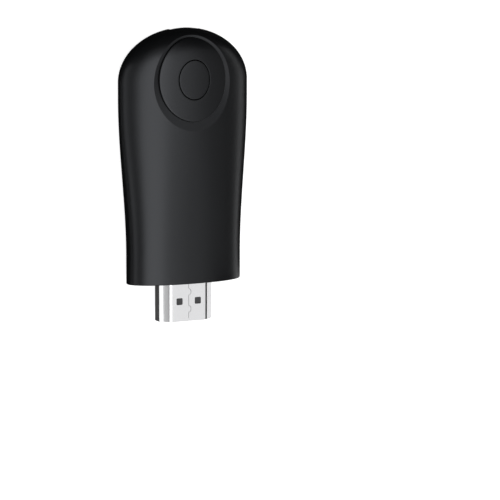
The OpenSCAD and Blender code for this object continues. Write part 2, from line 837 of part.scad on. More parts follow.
// Regulators with three legs each
regulator_size = [2.9, 1.3, 1];
regulator_shares = [[-0.74, 0.27], [-0.72, 0.39], [0.74, 0.36]];
module voltage_regulators() {
    leg = [0.4, 0.55, 0.2];
    color("#2b2b2e") place() for (s = regulator_shares) {
        chip(spot(s), regulator_size, board_top);
        for (p = [[-1, -1], [1, -1], [0, 1]]) {
            chip(spot(s) + [p.x*regulator_size.x/3, p.y*(regulator_size.y + leg.y)/2], leg, board_top);
        }
    }
}

large_size = [3.2, 1.6, 1.2];
large_shares = [[0.74, 0.69], [0.74, 0.745], [0.62, 0.8], [-0.7, 0.79], [0.55, 0.86], [-0.74, 0.33]];
module large_capacitors() {
    color("#b08d5b") place() for (s = large_shares) end_capped(spot(s), large_size, board_top);
}

// Rows of small parts on the back of the board, on both sides of the chips
small_size = [1, 0.5, 0.5];
capacitor_rows = [for (side = [-1, 1], k = [0:7]) [side*0.62, 0.17 + 0.04*k]];
resistor_rows = [for (side = [-1, 1], k = [0:7]) [side*0.46, 0.17 + 0.04*k]];
module small_capacitors() {
    color("#b08d5b") place()
        for (s = capacitor_rows) end_capped(spot(s), small_size, board_z - small_size.z);
}
module small_resistors() {
    color("#202022") place()
        for (s = resistor_rows) end_capped(spot(s), small_size, board_z - small_size.z);
}

// Two cross-head screws that fix the board to the rear shell
module board_screws() {
    color("#9a9da1") place() for (i = screw_posts) {
        translate(concat(spot(post_shares[i]), board_top)) difference() {
            union() {
                translate([0, 0, -screw_len]) cylinder(r = screw_r, h = screw_len);
                cylinder(r = head_r, h = head_h);
            }
            for (turn = [0, 90]) {
                rotate([0, 0, turn]) translate([-slot_len/2, -slot_w/2, head_h - slot_sink])
                    cube([slot_len, slot_w, slot_sink + over]);
            }
        }
    }
}

front_shell();
rear_shell();
face_plate();
plate_tape();
button();
switch_plunger();
switch_body();
switch_cover();
circuit_board();
plug_shell();
plug_insulator();
plug_upper_contacts();
plug_lower_contacts();
jack_shell();
jack_insulator();
jack_contacts();
main_processor();
memory_chip();
flash_chip();
thermal_pad();
heat_spreader();
wifi_module();
wifi_shield();
chip_antenna();
crystals();
power_inductors();
voltage_regulators();
large_capacitors();
small_capacitors();
small_resistors();
board_screws();
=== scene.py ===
# %% [markdown]
# # A wireless display dongle, dressed for the photograph
# The part is a small matte black stick with a bright video plug at one end and
# a dished plate with a push button in its round head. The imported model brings
# exact solids for every piece. This lesson keeps the solids that already look
# right, makes smooth copies of the moulded and pressed pieces that face the
# camera, and gives each surface a finish.

# %% Load the frame
import math

import bmesh
import bpy
from mathutils import Matrix, Vector


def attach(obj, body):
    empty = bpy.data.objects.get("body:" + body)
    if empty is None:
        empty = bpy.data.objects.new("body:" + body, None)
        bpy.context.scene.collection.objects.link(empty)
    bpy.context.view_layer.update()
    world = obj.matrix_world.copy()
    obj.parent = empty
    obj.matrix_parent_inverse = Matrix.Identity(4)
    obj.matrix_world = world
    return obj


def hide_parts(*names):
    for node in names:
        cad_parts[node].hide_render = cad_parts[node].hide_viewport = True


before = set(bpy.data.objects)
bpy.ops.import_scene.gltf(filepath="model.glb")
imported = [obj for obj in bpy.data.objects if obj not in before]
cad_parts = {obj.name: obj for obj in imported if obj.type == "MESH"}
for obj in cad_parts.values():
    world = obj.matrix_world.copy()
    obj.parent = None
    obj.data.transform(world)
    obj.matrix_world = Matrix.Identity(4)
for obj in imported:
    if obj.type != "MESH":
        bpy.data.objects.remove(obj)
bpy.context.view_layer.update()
scene = bpy.context.scene
MM = 0.001
print("packed nodes:", len(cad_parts))

# %% [markdown]
# The camera stands to the left of the part, a little towards its head, and far
# away with a long lens, as for a catalogue picture. It is placed by the
# direction from one point in the middle of the part. Then it is turned by the
# few degrees that bring this point to its place in the picture, so that the
# lens needs no shift.

# %% Camera
PIXELS = 500
VIEW_TURN, VIEW_LIFT = math.radians(25.2), math.radians(6.2)
VIEW_DISTANCE = 600*MM
PIXELS_PER_M = 4220
AIM_POINT = Vector((0, 4.5, 5.2))*MM
AIM_PIXEL = (183.6, 155.4)

to_camera = Vector((
    -math.sin(VIEW_TURN)*math.cos(VIEW_LIFT),
    math.sin(VIEW_LIFT),
    math.cos(VIEW_TURN)*math.cos(VIEW_LIFT),
))
picture_right = Vector((math.cos(VIEW_TURN), 0, math.sin(VIEW_TURN)))
picture_up = to_camera.cross(picture_right)

lens_in_pixels = PIXELS_PER_M*VIEW_DISTANCE
seen_at = Vector((AIM_PIXEL[0] - PIXELS/2, PIXELS/2 - AIM_PIXEL[1], -lens_in_pixels))
straight = Matrix((picture_right, picture_up, to_camera)).transposed()
turn = seen_at.normalized().rotation_difference(Vector((0, 0, -1))).to_matrix()

camera_data = bpy.data.cameras.new("studio_camera")
camera_data.sensor_width = 36
camera_data.lens = camera_data.sensor_width*lens_in_pixels/PIXELS
camera_data.clip_start, camera_data.clip_end = 10*MM, 10
camera = bpy.data.objects.new("studio_camera", camera_data)
scene.collection.objects.link(camera)
camera.location = AIM_POINT + to_camera*VIEW_DISTANCE
camera.rotation_mode = "QUATERNION"
camera.rotation_quaternion = (straight @ turn).to_quaternion()
scene.camera = camera
print("lens", round(camera_data.lens, 1), "mm")

# %% [markdown]
# The housing is moulded in two halves, but its outside is one smooth form. It
# could be sculpted or built from a subdivided cage. A form that is known in
# numbers is better written as a few functions: how wide it is at each distance
# from the plug end, and how high its front stands. Everything that has to be
# flush with it, such as the plate and the button, then asks the same functions.
# Distances here are in millimetres from the plug end, and a piece is moved to
# its place and scaled to metres when it is done.

# %% Width of the housing
BODY_LEN, END_WIDTH, HEAD_WIDTH = 60.3, 29.4, 33.3
FLARE_START, FLARE_END = 6.9, 43.4
NOSE_LEN, END_ROUND = 12.6, 0.3
PLUG_REACH = 9.3
HEAD_Y = BODY_LEN - NOSE_LEN
END_Y = (PLUG_REACH - BODY_LEN)/2


def smooth_step(u):
    c = max(0.0, min(1.0, u))
    return c*c*(3 - 2*c)


def end_drop(y):
    """How far the rounded edge at the plug end lies inside the full form."""
    if y >= END_ROUND:
        return 0.0
    return END_ROUND - math.sqrt(max(0.0, END_ROUND**2 - (END_ROUND - y)**2))


def flare(y):
    """Share of the way from the form at the plug end to the form at the head."""
    return smooth_step((y - FLARE_START)/(FLARE_END - FLARE_START))


def side_width(y, inset):
    return END_WIDTH/2 + (HEAD_WIDTH - END_WIDTH)/2*flare(y) - inset - end_drop(y)


def half_width(y, inset):
    nose = max(0.0, (y - HEAD_Y)/(NOSE_LEN - inset))
    return side_width(y, inset)*math.sqrt(max(0.0, 1 - nose*nose))


print("width at the plug end, half way and at the head:",
      [round(2*half_width(y, 0), 1) for y in (END_ROUND, BODY_LEN/2, HEAD_Y)])

# %% [markdown]
# Across the housing the front is a crown: almost flat in the middle and round
# at the sides. One power sets how flat the middle is and another how round the
# sides are, and both change on the way to the head, as the real section does.

# %% Height of the front
SEAM_Z, END_RISE, HEAD_RISE = 5.2, 5.7, 6.3
DOME_LEN, DOME_POWER = 9.0, 2.2
END_CROWN, HEAD_CROWN = 2.35, 1.95
END_EDGE, HEAD_EDGE = 0.53, 0.66


def front_height(x, y, inset=0.0):
    dome = max(0.0, (y - BODY_LEN + DOME_LEN)/(DOME_LEN - inset))
    rise = END_RISE + (HEAD_RISE - END_RISE)*smooth_step(y/FLARE_END) - inset - end_drop(y)
    rise *= max(0.0, 1 - dome**DOME_POWER)**(1/DOME_POWER)
    width = half_width(y, inset)
    across = 1.0 if width <= 0 else min(1.0, abs(x)/width)
    crown = END_CROWN + (HEAD_CROWN - END_CROWN)*flare(y)
    edge = END_EDGE + (HEAD_EDGE - END_EDGE)*flare(y)
    return SEAM_Z + rise*(1 - across**crown)**edge


print("front height at the plug end and at the head:",
      [round(front_height(0, y), 2) for y in (END_ROUND, HEAD_Y)])

# %% [markdown]
# A loft needs rings with equal counts of points. Each ring here runs round the
# housing: along the plug end, up the right side, over the elliptical nose and
# down the left side. The points crowd where the form bends fast, so that the
# small radius at the plug end stays round.

# %% Rings round the housing
END_STEPS, ROUND_STEPS, SIDE_STEPS, NOSE_STEPS = 36, 6, 40, 84
SIDE_CROWDING = 1.4
# A ring that has no rounded end keeps those points too, a hair apart
HAIR = 0.001


def outline(inset=0.0, end=0.0):
    """Plan of the housing seen from the front, as a list of points."""
    if end < END_ROUND:
        right = [end + (END_ROUND - end)*(k/ROUND_STEPS)**2 for k in range(ROUND_STEPS)]
        start = END_ROUND
    else:
        right = [end + k*HAIR for k in range(ROUND_STEPS)]
        start = end + ROUND_STEPS*HAIR
    right += [start + (HEAD_Y - start)*(1 - (1 - k/SIDE_STEPS)**SIDE_CROWDING)
              for k in range(SIDE_STEPS)]
    corner = side_width(end, inset)
    points = [(-corner*math.cos(math.pi*i/END_STEPS), end) for i in range(END_STEPS)]
    points += [(side_width(y, inset), y) for y in right]
    for i in range(NOSE_STEPS):
        a = math.pi*i/NOSE_STEPS
        points.append(((HEAD_WIDTH/2 - inset)*math.cos(a),
                       HEAD_Y + (NOSE_LEN - inset)*math.sin(a)))
    points += [(-side_width(y, inset), y) for y in reversed(right[1:] + [HEAD_Y])]
    return points


DIRECTIONS = [math.atan2(y - HEAD_Y, x) for x, y in outline()]
print("points in a ring:", len(DIRECTIONS))

# %% [markdown]
# The dish, the plate and the button are ovals. Each gets its points in the same
# directions as the outline's, so that a ring can be blended from an oval to the
# outline, point by point. A flat ring is then laid on the front, or level.

# %% Ovals and blended rings
def oval(rx, ry, centre_y):
    return [(rx*math.cos(a), centre_y + ry*math.sin(a)) for a in DIRECTIONS]


def between(a, b, share):
    return [(p[0] + (q[0] - p[0])*share, p[1] + (q[1] - p[1])*share) for p, q in zip(a, b)]


def on_front(points, inset=0.0, drop=0.0, land=0.0):
    return [(x, y, max(front_height(x, y, inset) - drop, SEAM_Z + land)) for x, y in points]


def level(points, z):
    return [(x, y, z) for x, y in points]


# %% [markdown]
# The loft itself is made with operators: a circle gives the first ring, an
# extrusion of its edges gives each next one, and the new points are moved to
# their places. The last ring is either merged with the first, which leaves a
# solid with a hole, or closed to a point. Doubles are merged before the normals
# are worked out, because a mesh that isn't closed has no sure outside.

# %% Loft helper
MERGE_DIST, TINY_EDGE = 0.0005, 0.0002


def extrude_ring(bm, ring):
    """Extrudes a ring of vertices and returns the new ring in the same order."""
    edges = [bm.edges.get((a, b)) for a, b in zip(ring, ring[1:] + ring[:1])]
    made = bmesh.ops.extrude_edge_only(bm, edges=edges)["geom"]
    new = {v for v in made if isinstance(v, bmesh.types.BMVert)}
    return [next(e.other_vert(v) for e in v.link_edges if e.other_vert(v) in new) for v in ring]


def place_ring(ring, places):
    for v, p in zip(ring, places):
        v.co = Vector((p[0], p[1] + END_Y, p[2]))*MM


def loft(rings, first=None, last=None):
    """A closed mesh through the rings; first and last are the points that close it."""
    bm = bmesh.new()
    start = bmesh.ops.create_circle(bm, segments=len(rings[0]), radius=1)["verts"]
    place_ring(start, rings[0])
    ring = start
    for places in rings[1:]:
        ring = extrude_ring(bm, ring)
        place_ring(ring, places)
    if first is None:
        ring = extrude_ring(bm, ring)
        place_ring(ring, rings[0])
    else:
        for edge_ring, point in ((start, first), (ring, last)):
            tip = extrude_ring(bm, edge_ring)
            place_ring(tip, [point]*len(tip))
    bmesh.ops.remove_doubles(bm, verts=bm.verts[:], dist=MERGE_DIST*MM)
    bmesh.ops.dissolve_degenerate(bm, edges=bm.edges[:], dist=TINY_EDGE*MM)
    bmesh.ops.recalc_face_normals(bm, faces=bm.faces[:])
    return bm


# %% [markdown]
# A finished bmesh becomes an object that rides on one of the part's bodies.
# Shading is smooth, and an edge stays sharp only where its faces meet at more
# than a given angle. Openings are cut with a Boolean modifier, whose result is
# kept as the mesh, so that no modifier or cutter is left in the scene.

# %% From mesh to piece
def as_object(name, bm):
    mesh = bpy.data.meshes.new(name)
    bm.to_mesh(mesh)
    bm.free()
    obj = bpy.data.objects.new(name, mesh)
    scene.collection.objects.link(obj)
    return obj


def shade(obj, sharp):
    obj.data.polygons.foreach_set("use_smooth", [True]*len(obj.data.polygons))
    obj.data.set_sharp_from_angle(angle=math.radians(sharp))


def piece(name, bm, body="housing", sharp=20):
    """An object that rides on a body, with smooth shading up to an angle."""
    obj = as_object(name, bm)
    shade(obj, sharp)
    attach(obj, body)
    print(name, len(obj.data.polygons), "faces")
    return obj


def cut(obj, *cutters, sharp=20):
    """Cuts the cutters out of obj for good, and removes them."""
    for cutter in cutters:
        modifier = obj.modifiers.new("cut", "BOOLEAN")
        modifier.operation, modifier.solver = "DIFFERENCE", "EXACT"
        modifier.object = cutter
    bpy.context.view_layer.update()
    graph = bpy.context.evaluated_depsgraph_get()
    mesh = bpy.data.meshes.new_from_object(obj.evaluated_get(graph))
    obj.modifiers.clear()
    obj.data = mesh
    shade(obj, sharp)
    for cutter in cutters:
        bpy.data.objects.remove(cutter)
    print(obj.name, "after its cuts:", len(mesh.polygons), "faces")


# %% [markdown]
# The plug passes through the end wall of both shells, and the power socket
# through the tip. In the mould these openings are made by cores. Here they are
# prisms with rounded corners: a polygon of a few vertices is extruded, and a
# bevel rounds its long edges.

# %% Prism helper
def extrude_faces(bm, faces, vec):
    grown = bmesh.ops.extrude_face_region(bm, geom=faces)["geom"]
    moved = [v for v in grown if isinstance(v, bmesh.types.BMVert)]
    bmesh.ops.translate(bm, verts=moved, vec=vec)


def round_edges(bm, edges, radius, steps):
    bmesh.ops.bevel(bm, geom=edges, offset=radius, offset_type="OFFSET", affect="EDGES",
                    segments=steps, profile=0.5, material=-1)


def to_metres(bm):
    """Moves a mesh from millimetres at the plug end to its place in metres."""
    bmesh.ops.recalc_face_normals(bm, faces=bm.faces[:])
    bmesh.ops.translate(bm, verts=bm.verts[:], vec=(0, END_Y, 0))
    bmesh.ops.scale(bm, verts=bm.verts[:], vec=(MM, MM, MM))


def prism(section, z, y0, y1, radius, steps=5):
    """A bmesh prism along Y, from a section in X and Z with rounded corners."""
    bm = bmesh.new()
    corners = [bm.verts.new((x, y0, z + dz)) for x, dz in section]
    extrude_faces(bm, [bm.faces.new(corners)], (0, y1 - y0, 0))
    along = [e for e in bm.edges if abs(e.verts[0].co.y - e.verts[1].co.y) > (y1 - y0)/2]
    round_edges(bm, along, radius, steps)
    to_metres(bm)
    return bm


# %% [markdown]
# The plug's section is a rectangle with its two front corners chamfered, which
# keeps the plug from going in upside down. The power socket is wide and flat,
# and narrower at its bottom. An opening is the section grown by a small gap.

# %% Sections and openings
# Plug: width, thickness, width of its flat front and height of its straight sides
PLUG_WIDTH, PLUG_THICK, PLUG_FLAT, PLUG_SIDE = 13.9, 4.45, 9.45, 2.5
PLUG_Z, PLUG_SHEET, PLUG_ROOT, FOLD_R = 3.56, 0.3, 5.0, 0.5
# Socket: width, height, place, share of the width at its bottom, share where it is full
JACK_W, JACK_H, JACK_Z, JACK_LOW, JACK_SHOULDER = 7.5, 2.5, 3.235, 0.72, 0.45
JACK_BACK, JACK_R = 54.3, 0.3
WALL, OPENING_GAP, OVERRUN = 1.3, 0.15, 1
# A slanted side moves out evenly when its ends move by these shares of the gap
FLAT_GROWTH, SIDE_GROWTH, LOW_GROWTH = 0.55, 0.4, 0.7


def plug_section(grow=0.0):
    w, f = PLUG_WIDTH/2 + grow, PLUG_FLAT/2 + grow*FLAT_GROWTH
    side, top = PLUG_SIDE + grow*SIDE_GROWTH, PLUG_THICK + grow
    return [(-w, -grow), (w, -grow), (w, side), (f, top), (-f, top), (-w, side)]


def jack_section(grow=0.0):
    w, low = JACK_W/2 + grow, JACK_W/2*JACK_LOW + grow*LOW_GROWTH
    side, top = JACK_H*JACK_SHOULDER, JACK_H + grow
    return [(-low, -grow), (low, -grow), (w, side), (w, top), (-w, top), (-w, side)]


def openings():
    plug_hole = prism(plug_section(OPENING_GAP), PLUG_Z, -OVERRUN, 2*WALL, FOLD_R)
    jack_hole = prism(jack_section(OPENING_GAP), JACK_Z, JACK_BACK, BODY_LEN + OVERRUN, JACK_R)
    return as_object("plug_hole", plug_hole), as_object("jack_hole", jack_hole)


print("plug opening in mm:", [round(v + 2*OPENING_GAP, 2) for v in (PLUG_WIDTH, PLUG_THICK)])

# %% [markdown]
# The front shell carries the oval dish, as if a slanted plane had been pressed
# into the crown. The slant runs straight between two points of the front on the
# middle line, so the dish starts deep at the plug side and runs out towards the
# tip. The seat of the plate lies at a constant depth below this slant.

# %% The dish
DISH_RX, DISH_RY, DISH_Y, DISH_DROP = 9.8, 11.2, HEAD_Y - 0.2, 0.18
# How steeply the band falls inwards, how much steeper at the plug side, and the slant's reach
BAND_FALL, LOWER_FALL, SLOPE_REACH = 0.08, 0.11, 11.4
PLATE_RX, PLATE_RY, PLATE_Y = 8.55, 9.8, HEAD_Y + 0.6
PLATE_GAP = 0.07

dish_low, dish_high = HEAD_Y - SLOPE_REACH, HEAD_Y + SLOPE_REACH
dish_slope = (front_height(0, dish_high) - front_height(0, dish_low))/(dish_high - dish_low)


def dish_height(y):
    return front_height(0, dish_low) + dish_slope*(y - dish_low) - DISH_DROP


def on_slope(points, drop=0.0):
    return [(x, y, dish_height(y) - drop) for x, y in points]


dish = oval(DISH_RX, DISH_RY, DISH_Y)
seat = oval(PLATE_RX + PLATE_GAP, PLATE_RY + PLATE_GAP, PLATE_Y)


def in_dish(share):
    """A ring on the band of the dish, at a share of the way from the seat to the rim."""
    ring = []
    for (x, y), (rim_x, rim_y, rim_z) in zip(seat, on_front(dish)):
        lower = max(0.0, (DISH_Y - rim_y)/DISH_RY)
        fall = BAND_FALL + LOWER_FALL*lower**2
        low = rim_z - fall*math.hypot(rim_x - x, rim_y - y)
        ring.append((x + (rim_x - x)*share, y + (rim_y - y)*share, low + (rim_z - low)*share))
    return ring


print("slant of the dish:", round(math.degrees(math.atan(dish_slope)), 1), "degrees")

# %% [markdown]
# The shell's loft starts at the seat of the plate, climbs over the band of the
# dish, runs out over the crown to the edge of the housing, and turns under it
# to the seam. It goes on round the locating lip and back inside, one wall
# thickness below the front, to a thick boss under the dish. Rows lie close
# together where the plug end rounds over, because coarse rows show as facets in
# a reflection.

# %% Front shell
SEAT_DEPTH, BOSS_DEPTH = 0.9, 2.0
LIP_INSET, LIP_H = 0.7, 1.0
BOSS_RIM, BOSS_END_RIM = 1.1, 0.35
# Half sizes of the opening under the plate, and the front's least height above the seam
WINDOW = (6, 7)
LAND = 0.02

edge = outline()
inner = outline(WALL, WALL)
lip = outline(LIP_INSET, LIP_INSET)
boss = oval(PLATE_RX + BOSS_RIM, PLATE_RY + BOSS_END_RIM, PLATE_Y)
window = oval(*WINDOW, PLATE_Y)

# Shares of the way from the seat to the rim, and from the rim to the outline
band_rows = (0, 0.04, 0.2, 0.5, 0.8, 0.97)
end_rows = [1 - y/dish_low for y in (1.1, 0.8, 0.6, 0.42, 0.28, 0.17, 0.08, 0.025, 0)]
front_rows = [0, 0.004] + [math.sin(math.radians(a)) for a in range(3, 76, 3)] + end_rows
inner_rows = (1, 0.98, 0.9, 0.75, 0.5, 0.25, 0)

front_rings = [on_slope(seat, SEAT_DEPTH)] + [in_dish(k) for k in band_rows]
front_rings += [on_front(between(dish, edge, s), land=LAND) for s in front_rows]
front_rings += [level(edge, SEAM_Z), level(lip, SEAM_Z)]
front_rings += [level(lip, SEAM_Z - LIP_H), level(inner, SEAM_Z - LIP_H)]
front_rings += [on_front(between(boss, inner, s), WALL) for s in inner_rows]
front_rings += [[(x, y, min(front_height(x, y, WALL), dish_height(y) - BOSS_DEPTH))
                 for x, y in boss]]
front_rings += [on_slope(window, BOSS_DEPTH), on_slope(window, SEAT_DEPTH)]

front_shell = piece("front_housing", loft(front_rings))
cut(front_shell, *openings())
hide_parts("front_shell")

# %% [markdown]
# The rear shell is the lower half of the same form: its sides roll round to a
# flat back. It stops a hair short of the front shell, which leaves the fine
# parting line that two moulded halves always show. Its loft runs from the
# inside of the back, up to the rebate that takes the lip, and down the outside.

# %% Rear shell
BACK_ROUND, SEAM_GAP, LIP_GAP = 10.0, 0.06, 0.05
BACK_STEPS = 24


def back_ring(angle, inset=0.0, end=0.0):
    a = math.radians(angle)
    plan = outline(inset + (BACK_ROUND - inset)*(1 - math.cos(a)), end)
    return [(x, y, SEAM_Z - (SEAM_Z - inset - end_drop(y))*math.sin(a)) for x, y in plan]


rebate = outline(LIP_INSET - LIP_GAP, LIP_INSET - LIP_GAP)
brink = outline(LIP_GAP, LIP_GAP)
rear_rings = [back_ring(a, WALL, WALL) for a in (90, 75, 60, 45, 30, 17)]
rear_rings += [level(rebate, SEAM_Z - LIP_H - LIP_GAP), level(rebate, SEAM_Z - SEAM_GAP)]
rear_rings += [level(brink, SEAM_Z - SEAM_GAP)]
rear_rings += [back_ring(90*k/BACK_STEPS) for k in range(1, BACK_STEPS + 1)]
for y in (0.025, 0.08, 0.17, 0.28, 0.42, 0.6, 1.0):
    rear_rings.append([(x, v, end_drop(v)) for x, v in outline(BACK_ROUND, y)])
middle_y = BODY_LEN/2
rear_shell = piece("rear_housing", loft(rear_rings, (0, middle_y, WALL), (0, middle_y, 0)))
cut(rear_shell, *openings())
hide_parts("rear_shell")

# %% [markdown]
# The plate follows the form that the dish cut away, so its crown is flush with
# the front. No moulded edge is quite sharp, and a small radius is what catches
# a thin line of light, so the loft takes a few rings over each edge instead of
# one corner.

# %% Plate
EDGE_ROUND = 0.1
EDGE_ANGLES = (0, 22, 45, 67, 90)
BUTTON_RX, BUTTON_RY, BUTTON_GAP = 3.85, 4.55, 0.18
TAPE_T = 0.15


def rounded_rim(rx, ry, outward):
    """Rings over a small rounded edge, from the top of a piece to its side."""
    rings = []
    for angle in EDGE_ANGLES:
        a = math.radians(angle)
        back = EDGE_ROUND*(1 - math.sin(a))*outward
        plan = oval(rx - back, ry - back, PLATE_Y)
        rings.append(on_front(plan, drop=EDGE_ROUND*(1 - math.cos(a))))
    return rings


def crown_rings(rx0, ry0, rx1, ry1, rows):
    a, b = oval(rx0, ry0, PLATE_Y), oval(rx1, ry1, PLATE_Y)
    return [on_front(between(a, b, k/rows)) for k in range(1, rows)]


hole = (BUTTON_RX + BUTTON_GAP, BUTTON_RY + BUTTON_GAP)
plate_foot = SEAT_DEPTH - TAPE_T
plate_rings = [on_slope(oval(*hole, PLATE_Y), plate_foot)] + rounded_rim(*hole, -1)[::-1]
plate_rings += crown_rings(*hole, PLATE_RX, PLATE_RY, 10)
plate_rings += rounded_rim(PLATE_RX, PLATE_RY, 1)
plate_rings += [on_slope(oval(PLATE_RX, PLATE_RY, PLATE_Y), plate_foot)]
plate = piece("dished_plate", loft(plate_rings))
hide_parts("face_plate")

# %% [markdown]
# The button is the middle of the same crown. A flange under the plate keeps it
# from falling out, and it rides on its own body, so that it can be pressed.

# %% Button
FLANGE_W, FLANGE_T, FLANGE_GAP = 1.2, 0.6, 0.1

button_foot = plate_foot + FLANGE_GAP
button_side = oval(BUTTON_RX, BUTTON_RY, PLATE_Y)
flange = oval(BUTTON_RX + FLANGE_W, BUTTON_RY + FLANGE_W, PLATE_Y)
button_rings = crown_rings(0, 0, BUTTON_RX, BUTTON_RY, 8)
button_rings += rounded_rim(BUTTON_RX, BUTTON_RY, 1)
button_rings += [on_slope(button_side, button_foot), on_slope(flange, button_foot)]
button_rings += [on_slope(flange, button_foot + FLANGE_T)]
top = (0, PLATE_Y, front_height(0, PLATE_Y))
bottom = (0, PLATE_Y, dish_height(PLATE_Y) - button_foot - FLANGE_T)
button = piece("push_button", loft(button_rings, top, bottom), body="button")
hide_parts("button")

# %% [markdown]
# The plug's sleeve is one strip of sheet metal, bent round a core. Its folds
# have real radii, and its two chamfers are a little crowned, as pressed sheet
# always is. A flat chamfer would mirror one light as one even patch. The crown
# spreads the lights into bands, which is what makes it read as metal. So the
# section is drawn as arcs joined by slightly bowed lines.

# %% Section of the plug sleeve
FOLD_STEPS, EDGE_STEPS = 8, 8
# Radius of each fold, and how far the line after it is bowed
FOLDS = [0.5, 0.5, 0.6, 1.2, 1.2, 0.6]
CROWNS = [0, 0, 0.02, 0, 0.045, 0]


def corner_arc(before, corner, after, radius):
    """Points of a rounded corner."""
    a, b = (corner - before).normalized(), (after - corner).normalized()
    bend = a.angle_signed(b)
    start = corner - a*radius*math.tan(abs(bend)/2)
    centre = start + Vector((a.y, -a.x))*(radius if bend > 0 else -radius)
    spoke = start - centre
    return [centre + Matrix.Rotation(-bend*k/FOLD_STEPS, 2) @ spoke
            for k in range(FOLD_STEPS + 1)]


def bowed_line(start, end, height):
    """Points between two ends, on a shallow parabola that stands out by a height."""
    out = Vector(((end - start).y, -(end - start).x)).normalized()
    shares = [k/EDGE_STEPS for k in range(1, EDGE_STEPS)]
    return [start.lerp(end, u) + out*4*u*(1 - u)*height for u in shares]


def sleeve_ring(y, set_in, tighter=0.0):
    """Section of the sleeve at y, set in from its outside, with folds tighter by a length."""
    points = [Vector(p) for p in plug_section(-set_in)]
    around = zip(points[-1:] + points[:-1], points, points[1:] + points[:1], FOLDS)
    arcs = [corner_arc(a, p, b, fold - tighter) for a, p, b, fold in around]
    ring = []
    for arc, next_arc, height in zip(arcs, arcs[1:] + arcs[:1], CROWNS):
        ring += arc + bowed_line(arc[-1], next_arc[0], height)
    return [(p.x, y, PLUG_Z + p.y) for p in ring]


print("points in the sleeve's section:", len(sleeve_ring(0, 0)))

# %% [markdown]
# A receptacle holds the plug by two springs that drop into square latch holes.
# The strip's two ends meet in a butt seam, held by locking tabs as in a jigsaw
# puzzle. The hole is a rounded bar. The seam is a thin ribbon that follows the
# outline of the tabs. Both cut right through the sheet, so they stay dark from
# any side, which a painted line wouldn't.

# %% Latch holes and seam
LATCH_SIZE, LATCH_PITCH, LATCH_Y = 1.62, 4.8, 4.5
SEAM_W, SEAM_DEPTH, SEAM_RISE = 0.09, 0.4, 1
TAB_OUT, TAB_LEN, TAB_STEPS = 0.6, 1.6, 14
TAB_PLACES = (6.4, 2.3)
# Powers that give a tab its full, round-shouldered bulge
TAB_FULL, TAB_ROUND = 2.6, 0.6


def latch_hole(side):
    bm = bmesh.new()
    bmesh.ops.create_cube(bm, size=1)
    bmesh.ops.scale(bm, verts=bm.verts[:], vec=(LATCH_SIZE, LATCH_SIZE, 3*PLUG_THICK))
    upright = [e for e in bm.edges if abs(e.verts[0].co.z - e.verts[1].co.z) > PLUG_THICK]
    round_edges(bm, upright, LATCH_SIZE/6, 4)
    place = (side*LATCH_PITCH/2, -LATCH_Y, PLUG_Z)
    bmesh.ops.translate(bm, verts=bm.verts[:], vec=place)
    to_metres(bm)
    return as_object("latch_hole", bm)


def seam_path():
    """Points along the seam, round each tab in a smooth bulge."""
    path = [Vector((0, -PLUG_REACH - OVERRUN))]
    for place in TAB_PLACES:
        for k in range(TAB_STEPS + 1):
            t = 2*k/TAB_STEPS - 1
            out = TAB_OUT*(1 - abs(t)**TAB_FULL)**TAB_ROUND
            path.append(Vector((out, TAB_LEN*t/2 - place)))
    return path + [Vector((0, PLUG_ROOT + OVERRUN))]


def seam_groove():
    path = seam_path()
    low = PLUG_Z + PLUG_THICK - SEAM_DEPTH
    bm = bmesh.new()
    rails = []
    for before, p, after in zip(path[:1] + path[:-1], path, path[1:] + path[-1:]):
        along = (after - before).normalized()
        out = Vector((along.y, -along.x))*SEAM_W/2
        rails.append([bm.verts.new((*(p + out*k), low)) for k in (-1, 1)])
    for a, b in zip(rails, rails[1:]):
        bm.faces.new((a[0], a[1], b[1], b[0]))
    extrude_faces(bm, bm.faces[:], (0, 0, SEAM_RISE))
    to_metres(bm)
    return as_object("seam_groove", bm)


print("points along the seam:", len(seam_path()))

# %% [markdown]
# The sleeve is a loft through its sections: along the inside to the mouth, over
# the rounded lip, and back along the outside. The lip is a half circle, and
# each of its rings is set in and moved along by its angle.

# %% Plug sleeve
LIP_R, LIP_ANGLE = 0.1, 15

sleeve_rings = [sleeve_ring(PLUG_ROOT, PLUG_SHEET, PLUG_SHEET)]
for angle in range(-90, 91, LIP_ANGLE):
    a = math.radians(angle)
    depth = LIP_R*(1 - abs(math.sin(a)))
    set_in = depth if angle > 0 else PLUG_SHEET - depth
    sleeve_rings.append(sleeve_ring(LIP_R*(1 - math.cos(a)) - PLUG_REACH, set_in, set_in))
sleeve_rings += [sleeve_ring(y, 0) for y in (-PLUG_REACH/2, 0, PLUG_ROOT)]

sleeve = piece("plug_sleeve", loft(sleeve_rings), sharp=35)
cut(sleeve, latch_hole(-1), latch_hole(1), seam_groove(), sharp=35)
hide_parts("plug_shell")

# %% [markdown]
# Materials are built from nodes. Each finish is one Principled shader, because
# that is what other programs understand. What varies over a surface, such as
# grain or streaks, comes from a node group, so that several finishes can share
# it with their own values.

# %% Node helpers
def node_group(name, inputs, outputs):
    """A shader node group with its sockets; returns it with its two end nodes."""
    group = bpy.data.node_groups.new(name, "ShaderNodeTree")
    for label, kind, value in inputs:
        socket = group.interface.new_socket(label, in_out="INPUT", socket_type=kind)
        socket.default_value = value
    for label, kind in outputs:
        group.interface.new_socket(label, in_out="OUTPUT", socket_type=kind)
    return group, group.nodes.new("NodeGroupInput"), group.nodes.new("NodeGroupOutput")


def add(tree, kind, links=None, **settings):
    """Adds a node, sets its properties, and links or sets its inputs."""
    node = tree.nodes.new(kind)
    for key, value in settings.items():
        setattr(node, key, value)
    for key, value in (links or {}).items():
        if isinstance(value, bpy.types.NodeSocket):
            tree.links.new(value, node.inputs[key])
        else:
            node.inputs[key].default_value = value
    return node


def maths(tree, operation, *values):
    """The result of a Math node."""
    return add(tree, "ShaderNodeMath", dict(enumerate(values)), operation=operation).outputs[0]


